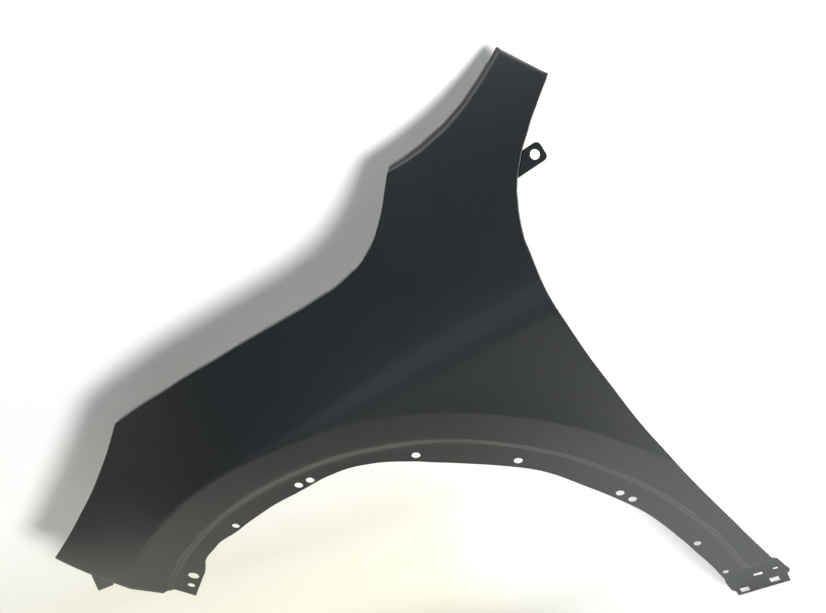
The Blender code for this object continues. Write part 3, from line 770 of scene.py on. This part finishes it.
for degrees, inset_share, size_share in ARCH_HOLE_SHARES:
    size = HOLE_DIAMETER * size_share
    add_punch(punches, arch_hole_place(degrees, inset_share), -OUTWARD, size, size)
foot_hole = arch_hole_place(FOOT_HOLE_ANGLE, FOOT_HOLE_INSET_SHARE)
add_punch(punches, foot_hole, -OUTWARD, FOOT_HOLE, FOOT_HOLE)
tab_depth = plan_sweep(REAR_REACH) + STEP_DEPTH
for across, up, length_share, width_share in SILL_SLOT_SHARES:
    place = Vector((across * REAR_REACH, tab_depth, up * SILL_DROP))
    add_slot_punch(punches, place, SLOT_LENGTH * length_share, SLOT_WIDTH * width_share)
for place, axis in hood_bolts():
    add_punch(punches, place, axis, BOLT_SLOT, BOLT_DIAMETER)
print("faces of the punches:", len(punches.faces))

# %% [markdown]
# The row's origin lies on the seating face of the rear upper tab, so the whole sheet is moved
# there. The move is worked out from the same lap, reach and thickness as the tab itself.

# %% Move to the row's origin
TAB_SHEET = 0.0015
TAB_SAG = 0.0012
WELD_GAP = 0.0003
REAR_TAB_REACH = 0.034
REAR_TAB_LAP = 0.030
REAR_TAB_TURN = math.radians(18)
REAR_TAB_END = 0.012
SEAT_TO_HOLE = 0.0105


def skin_frame(point):
    """A frame on the skin: X toward the car's rear, Y up the skin and Z outward."""
    step = SHEET
    across = on_skin(point.x + step, point.y) - on_skin(point.x - step, point.y)
    up = on_skin(point.x, point.y + step) - on_skin(point.x, point.y - step)
    z_axis = across.cross(up).normalized()
    x_axis = across.normalized()
    y_axis = z_axis.cross(x_axis)
    found = Matrix((x_axis, y_axis, z_axis)).transposed().to_4x4()
    found.translation = on_skin(*point)
    return found


tab_edge = side_point(REAR_TAB_SHARES)
tab_lap = tab_edge - Vector((math.cos(REAR_TAB_TURN), 0)) * REAR_TAB_LAP / 2
tab_frame = skin_frame(tab_lap) @ Matrix.Rotation(REAR_TAB_TURN, 4, "Z")
beside_hole = REAR_TAB_LAP / 2 + REAR_TAB_REACH - REAR_TAB_END - SEAT_TO_HOLE
tab_face = SHEET + WELD_GAP + TAB_SAG
seat = tab_frame @ Vector((beside_hole, 0, -tab_face - TAB_SHEET))
for bm in (sheet, punches):
    bmesh.ops.translate(bm, verts=bm.verts, vec=-seat)
print("seat of the rear tab, from the arch centre:", tuple(round(v, 4) for v in seat))

# %% [markdown]
# The open sheet gets its thickness on the inner side, because the outer face is what was drawn.
# Then the punches cut it. Both modifiers are applied, so that the edges of the holes can be marked
# sharp afterwards and the skin between them can stay smooth.

# %% One solid sheet
SHARP_ANGLE = math.radians(40)


def mesh_of(bm, name):
    mesh = bpy.data.meshes.new(name)
    bm.to_mesh(mesh)
    bm.free()
    return mesh


def add_object(name, data):
    made = bpy.data.objects.new(name, data)
    bpy.context.scene.collection.objects.link(made)
    return made


def apply_modifiers(made):
    """Puts the evaluated mesh in place of the object's own, with its modifiers gone."""
    graph = bpy.context.evaluated_depsgraph_get()
    mesh = bpy.data.meshes.new_from_object(made.evaluated_get(graph))
    made.modifiers.clear()
    made.data = mesh
    mesh.shade_smooth()
    mesh.set_sharp_from_angle(angle=SHARP_ANGLE)


panel = add_object("pressed_panel", mesh_of(sheet, "pressed_panel"))
punch_bars = add_object("punch_bars", mesh_of(punches, "punch_bars"))
wall = panel.modifiers.new("sheet", "SOLIDIFY")
wall.thickness = SHEET
wall.offset = -1
wall.use_even_offset = True
holes = panel.modifiers.new("holes", "BOOLEAN")
holes.operation = "DIFFERENCE"
holes.object = punch_bars
apply_modifiers(panel)
bpy.data.objects.remove(punch_bars, do_unlink=True)
print("panel:", len(panel.data.polygons), "faces")

# %% [markdown]
# Dipped primer is a thin satin black film. It is nearly black, a little uneven in gloss, with a
# fine orange peel and a trace of dust. Such a finish is mostly noise, with each noise brought into
# a range of its own, so two small helpers make the nodes for that.

# %% The primer's values and its noise
PRIMER_DARK = (0.0040, 0.0060, 0.0076, 1.0)
PRIMER_LIGHT = (0.0052, 0.0072, 0.0088, 1.0)

PRIMER_IOR = 1.66
GLOSS_RANGE = (0.365, 0.395)
CLOUD_SCALE = 7.0
CLOUD_SPAN = (0.35, 0.65)
MOTTLE_SCALE = 90.0
MOTTLE_SPAN = (0.3, 0.7)
PEEL_SCALE = 620.0
PEEL_HEIGHT = 0.00006
PEEL_STRENGTH = 0.25
DUST_SCALE = 2600.0
DUST_HEIGHT = 0.00002
DUST_STRENGTH = 0.2


def noise(tree, coordinates, scale, detail, roughness=0.5):
    node = tree.nodes.new("ShaderNodeTexNoise")
    node.inputs["Scale"].default_value = scale
    node.inputs["Detail"].default_value = detail
    node.inputs["Roughness"].default_value = roughness
    tree.links.new(coordinates, node.inputs["Vector"])
    return node.outputs["Fac"]


def remap(tree, value, low, high, to_low, to_high):
    node = tree.nodes.new("ShaderNodeMapRange")
    node.inputs["From Min"].default_value = low
    node.inputs["From Max"].default_value = high
    node.inputs["To Min"].default_value = to_low
    node.inputs["To Max"].default_value = to_high
    tree.links.new(value, node.inputs["Value"])
    return node.outputs["Result"]


print("primer between", PRIMER_DARK[:3], "and", PRIMER_LIGHT[:3])

# %% [markdown]
# Slow noise varies the colour and the roughness, and fast noise makes the peel and the dust. All of
# it is in Object coordinates, so that nothing slides over the panel.


# %% The primer
def primer(name):
    made = bpy.data.materials.new(name)
    made.use_nodes = True
    tree = made.node_tree
    shader = tree.nodes["Principled BSDF"]
    shader.inputs["IOR"].default_value = PRIMER_IOR
    places = tree.nodes.new("ShaderNodeTexCoord").outputs["Object"]
    cloud = noise(tree, places, CLOUD_SCALE, 4.0)
    mottle = noise(tree, places, MOTTLE_SCALE, 3.0)
    peel = noise(tree, places, PEEL_SCALE, 2.0)
    dust = noise(tree, places, DUST_SCALE, 1.0)
    mix = tree.nodes.new("ShaderNodeMix")
    mix.data_type = "RGBA"
    mix.inputs["A"].default_value = PRIMER_DARK
    mix.inputs["B"].default_value = PRIMER_LIGHT
    tree.links.new(remap(tree, cloud, *CLOUD_SPAN, 0.0, 1.0), mix.inputs["Factor"])
    tree.links.new(mix.outputs["Result"], shader.inputs["Base Color"])
    tree.links.new(remap(tree, mottle, *MOTTLE_SPAN, *GLOSS_RANGE), shader.inputs["Roughness"])
    bump = tree.nodes.new("ShaderNodeBump")
    bump.inputs["Strength"].default_value = PEEL_STRENGTH
    bump.inputs["Distance"].default_value = PEEL_HEIGHT
    tree.links.new(peel, bump.inputs["Height"])
    fine = tree.nodes.new("ShaderNodeBump")
    fine.inputs["Strength"].default_value = DUST_STRENGTH
    fine.inputs["Distance"].default_value = DUST_HEIGHT
    tree.links.new(dust, fine.inputs["Height"])
    tree.links.new(bump.outputs["Normal"], fine.inputs["Normal"])
    tree.links.new(fine.outputs["Normal"], shader.inputs["Normal"])
    return made


panel.data.materials.clear()
panel.data.materials.append(primer("satin_primer"))
tab_primer = primer("tab_primer")
for name in ("rear_upper_tab", "front_lower_tab"):
    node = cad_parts[name]
    for slot in node.material_slots:
        slot.material = tab_primer
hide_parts("fender_panel")
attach(panel, "root")
print("primer on:", panel.name, "and the two tabs")

# %% [markdown]
# The stage is a sheet of pale paper. It starts a little way outward of the panel and curves up into
# a wall close behind it, so the panel's shadow falls beside its upper edge. Past the near edge of
# the paper lies a dark floor. The upright parts of the satin sheet mirror the paper, and the
# leaning skin mirrors the darker room, which is what sets them apart.

# %% The shape of the paper
STAGE_HALF = 14.0
FLOOR_GAP = 0.0005
FLOOR_LEVEL = -SILL_DROP - seat.z - FLOOR_GAP
PAPER_FRONT = 0.45
WALL_FROM_ARCH = 0.225
WALL_DEPTH = WALL_FROM_ARCH - seat.y
WALL_HEIGHT = 6.0
COVE_RADIUS = 0.14
COVE_STEPS = 16

stage = bmesh.new()
profile = [stage.verts.new((-STAGE_HALF, -PAPER_FRONT - seat.y, FLOOR_LEVEL))]
for k in range(COVE_STEPS + 1):
    angle = math.pi / 2 * k / COVE_STEPS
    y = WALL_DEPTH - COVE_RADIUS + COVE_RADIUS * math.sin(angle)
    z = FLOOR_LEVEL + COVE_RADIUS - COVE_RADIUS * math.cos(angle)
    profile.append(stage.verts.new((-STAGE_HALF, y, z)))
profile.append(stage.verts.new((-STAGE_HALF, WALL_DEPTH, FLOOR_LEVEL + WALL_HEIGHT)))
edges = [stage.edges.new(pair) for pair in zip(profile, profile[1:])]
grown = bmesh.ops.extrude_edge_only(stage, edges=edges)["geom"]
moved = [item for item in grown if isinstance(item, bmesh.types.BMVert)]
bmesh.ops.translate(stage, verts=moved, vec=(2 * STAGE_HALF, 0, 0))
face_toward(stage, Vector((0, 0, 1)))
floor = add_object("stage_floor", mesh_of(stage, "stage_floor"))
floor.data.shade_smooth()
print("floor at", round(FLOOR_LEVEL, 4), "m, wall at", round(WALL_DEPTH, 4), "m")

# %% [markdown]
# The paper is white at the rear and up the wall, and turns cream along the floor toward the front.
# The whiter rear part is partly painted light: a paler tone on the side where the lamps stand, which
# also lifts the panel's shadow beside the rear leg. It is opaque from its lit side only. From behind
# it lets light and sight through, so the panel can be seen from every side.

# %% The paper
WALL_COLOUR = (0.88, 0.88, 0.86, 1.0)
CREAM = (0.64, 0.61, 0.515, 1.0)
PALE_CREAM = (0.75, 0.72, 0.625, 1.0)
# These stops paint the floor paler toward the rear, partly as painted light from the lamps on that
# side.
FLOOR_TONES_WITH_PAINTED_LIGHT = ((-1.40, PALE_CREAM), (-0.90, CREAM), (-0.50, CREAM), (-0.15, WALL_COLOUR))
RISE_START, RISE_END = 0.05, 0.40
PAPER_ROUGHNESS = 0.9

paper = bpy.data.materials.new("stage_paper")
paper.use_nodes = True
tree = paper.node_tree
shader = tree.nodes["Principled BSDF"]
place = tree.nodes.new("ShaderNodeSeparateXYZ")
tree.links.new(tree.nodes.new("ShaderNodeTexCoord").outputs["Object"], place.inputs["Vector"])
tones = tree.nodes.new("ShaderNodeValToRGB")
front_end, rear_end = FLOOR_TONES_WITH_PAINTED_LIGHT[0][0], FLOOR_TONES_WITH_PAINTED_LIGHT[-1][0]
rearward = remap(tree, place.outputs["X"], front_end, rear_end, 0.0, 1.0)
tree.links.new(rearward, tones.inputs["Fac"])
for x, colour in FLOOR_TONES_WITH_PAINTED_LIGHT[1:-1]:
    tones.color_ramp.elements.new((x - front_end) / (rear_end - front_end))
for stop, (x, colour) in zip(tones.color_ramp.elements, FLOOR_TONES_WITH_PAINTED_LIGHT):
    stop.color = colour
blend = tree.nodes.new("ShaderNodeMix")
blend.data_type = "RGBA"
blend.inputs["B"].default_value = WALL_COLOUR
low, high = FLOOR_LEVEL + RISE_START, FLOOR_LEVEL + RISE_END
tree.links.new(remap(tree, place.outputs["Z"], low, high, 0.0, 1.0), blend.inputs["Factor"])
tree.links.new(tones.outputs["Color"], blend.inputs["A"])
tree.links.new(blend.outputs["Result"], shader.inputs["Base Color"])
shader.inputs["Roughness"].default_value = PAPER_ROUGHNESS
shader.inputs["Specular IOR Level"].default_value = 0.0
clear = tree.nodes.new("ShaderNodeBsdfTransparent")
sides = tree.nodes.new("ShaderNodeMixShader")
tree.links.new(tree.nodes.new("ShaderNodeNewGeometry").outputs["Backfacing"], sides.inputs["Fac"])
tree.links.new(shader.outputs["BSDF"], sides.inputs[1])
tree.links.new(clear.outputs["BSDF"], sides.inputs[2])
tree.links.new(sides.outputs["Shader"], tree.nodes["Material Output"].inputs["Surface"])
floor.data.materials.append(paper)
print("tones along the floor:", len(FLOOR_TONES_WITH_PAINTED_LIGHT))

# %% [markdown]
# The room's own floor lies just under the paper and shows past its near edge. It is plain grey,
# because only its reflection matters.

# %% The dark floor of the room
ROOM_COLOUR = (0.12, 0.12, 0.12, 1.0)
ROOM_ROUGHNESS = 0.9
PAPER_GAP = 0.002

ground = bmesh.new()
bmesh.ops.create_grid(ground, x_segments=1, y_segments=1, size=STAGE_HALF)
bmesh.ops.translate(ground, verts=ground.verts, vec=(0, 0, FLOOR_LEVEL - PAPER_GAP))
room_floor = add_object("room_floor", mesh_of(ground, "room_floor"))
grey = bpy.data.materials.new("room_grey")
grey.use_nodes = True
grey_shader = grey.node_tree.nodes["Principled BSDF"]
grey_shader.inputs["Base Color"].default_value = ROOM_COLOUR
grey_shader.inputs["Roughness"].default_value = ROOM_ROUGHNESS
room_floor.data.materials.append(grey)
print("room floor", round(PAPER_GAP * 1000, 1), "mm under the paper")

# %% [markdown]
# The camera looks down on the panel's outer side from above and from its right. Its lens and its
# place are those that lay the drawing's outline over the one in the photo.

# %% The camera
PHOTO_WIDTH = 826
FOCAL_PIXELS = 1654
SENSOR = 36.0
CAMERA_FROM_ARCH = Vector((0.8683, -1.3478, 1.8321))
VIEW_TILT = math.radians(45.6)
VIEW_ROLL = math.radians(27.0)

sweep = Vector((math.sin(VIEW_ROLL), 0, math.cos(VIEW_ROLL)))
back = math.cos(VIEW_TILT) * OUTWARD + math.sin(VIEW_TILT) * sweep
up = -math.sin(VIEW_TILT) * OUTWARD + math.cos(VIEW_TILT) * sweep
right = up.cross(back)
camera_data = bpy.data.cameras.new("camera")
camera_data.sensor_width = SENSOR
camera_data.lens = FOCAL_PIXELS * SENSOR / PHOTO_WIDTH
camera = add_object("camera", camera_data)
turn = Matrix((right, up, back)).transposed().to_4x4()
turn.translation = CAMERA_FROM_ARCH - seat
camera.matrix_world = turn
bpy.context.scene.camera = camera
print("camera at", tuple(round(v, 3) for v in camera.matrix_world.translation))

# %% [markdown]
# A soft lamp out to the right of the panel gives the shadow on the wall, and one above lights the
# floor. A low one at the right and a wide weak one out to the left add a little light from those
# sides. Each row below holds a lamp's place and its aim, both measured from near the panel's
# middle, then its width and its watts.

# %% The lamps
MIDDLE = Vector((-0.40, -0.05, -0.30))
LAMPS = (
    ("side_lamp", (2.70, -3.30, 1.39), (0.0, 0.0, 0.0), 1.25, 245),
    ("top_lamp", (-0.10, 0.05, 3.40), (0.1, -0.3, -0.5), 0.8, 105),
    ("low_lamp", (2.60, 0.05, 0.60), (0.3, 0.1, -0.4), 1.0, 42),
    ("front_lamp", (-1.05, -3.30, 0.15), (0.0, 0.0, 0.0), 2.4, 8),
)

for name, place, aim, width, watts in LAMPS:
    lamp_data = bpy.data.lights.new(name, "AREA")
    lamp_data.shape = "DISK"
    lamp_data.size = width
    lamp_data.energy = watts
    lamp = add_object(name, lamp_data)
    lamp.location = MIDDLE + Vector(place)
    lamp.rotation_euler = (Vector(place) - Vector(aim)).to_track_quat("Z", "Y").to_euler()
print("lamps:", [name for name, *rest in LAMPS])

# %% [markdown]
# The room is dark where the leaning skin mirrors it and brighter elsewhere, and its light is a
# little warm from the left and a little cool from all other sides. A ray's direction gives both: a
# dot product says how nearly it goes one way, and a range turns that into light or tint.

# %% The light of the room
ROOM_DIM = 0.05
ROOM_BRIGHT = 0.42
ROOM_AHEAD = (-0.33, -0.75, 0.57)
SKY_WARM = (1.12, 1.0, 0.80, 1.0)
SKY_COOL = (0.74, 1.0, 1.24, 1.0)

AHEAD_START, AHEAD_END = 0.50, 0.88
LEFT_START, LEFT_END = -0.75, -0.35
REARWARD = (1.0, 0.0, 0.0)

world = bpy.data.worlds.new("studio")
bpy.context.scene.world = world
world.use_nodes = True
room = world.node_tree
sky = room.nodes["Background"]
direction = room.nodes.new("ShaderNodeTexCoord").outputs["Generated"]


def toward(way):
    """How nearly a ray of the room's light comes from one way, from -1 to 1."""
    node = room.nodes.new("ShaderNodeVectorMath")
    node.operation = "DOT_PRODUCT"
    node.inputs[1].default_value = way
    room.links.new(direction, node.inputs[0])
    return node.outputs["Value"]


level = remap(room, toward(ROOM_AHEAD), AHEAD_START, AHEAD_END, ROOM_BRIGHT, ROOM_DIM)
room.links.new(level, sky.inputs["Strength"])
tint = room.nodes.new("ShaderNodeMix")
tint.data_type = "RGBA"
tint.inputs["A"].default_value = SKY_WARM
tint.inputs["B"].default_value = SKY_COOL
rearward_share = remap(room, toward(REARWARD), LEFT_START, LEFT_END, 0.0, 1.0)
room.links.new(rearward_share, tint.inputs["Factor"])
room.links.new(tint.outputs["Result"], sky.inputs["Color"])
bpy.context.scene.view_settings.view_transform = "Standard"
print("room light from", ROOM_DIM, "ahead to", ROOM_BRIGHT, "elsewhere")
